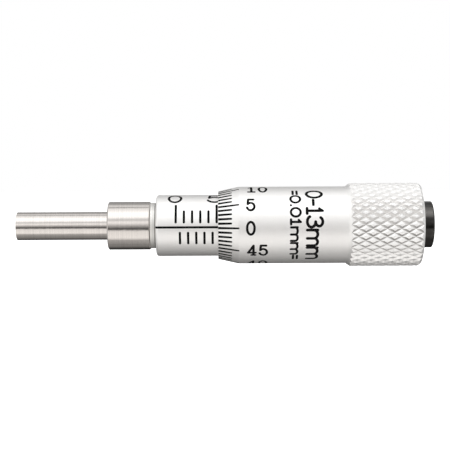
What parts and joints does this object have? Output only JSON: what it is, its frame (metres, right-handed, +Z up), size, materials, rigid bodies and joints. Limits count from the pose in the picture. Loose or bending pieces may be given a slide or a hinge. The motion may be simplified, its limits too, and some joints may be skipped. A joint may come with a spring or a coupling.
{
  "type": "micrometer head",
  "caption": "Plain-stem micrometer head with an extending flat spindle, a graduated sleeve and a knurled thimble on a fine screw.",
  "frame": {"origin": "on the head's axis, in the plane of the graduated sleeve's front face, the shoulder that seats on the fixture", "axes": "+X along the axis from the stem towards the thimble, so the spindle points to -X; the sleeve's datum line faces -Y; +Z is up with the datum line in front"},
  "size_m": [0.0518, 0.0104, 0.0104],
  "materials": {
    "ground_steel": "ground and lapped, bright, with fine lines round the axis",
    "satin_steel": "satin, turned",
    "satin_chrome": "satin chrome, black-filled graduations",
    "black_finish": "smooth black"
  },
  "bodies": {
    "frame": {"stem_bush": "ground_steel", "inner_sleeve": "satin_steel", "adjusting_nut": "satin_steel"},
    "sleeve": {"graduated_sleeve": "satin_chrome"},
    "carriage": {"cap_washer": "satin_steel"},
    "rotor": {"spindle": "ground_steel", "thimble": "satin_chrome", "thimble_cap": "black_finish"}
  },
  "joints": [
    {"name": "sleeve_zero_set", "type": "hinge", "parent": "frame", "child": "sleeve", "pos_m": [0, 0, 0], "axis": [1, 0, 0], "continuous": true},
    {"name": "spindle_travel", "type": "slide", "parent": "frame", "child": "carriage", "axis": [1, 0, 0], "range_m": [-0.005, 0.008]},
    {"name": "thimble_turn", "type": "hinge", "parent": "carriage", "child": "rotor", "pos_m": [0, 0, 0], "axis": [1, 0, 0], "range_deg": [-3601.2, 5759.04]}
  ],
  "couplings": [
    {"joint": "thimble_turn", "follows": "spindle_travel", "rad_per_m": 12566}
  ]
}
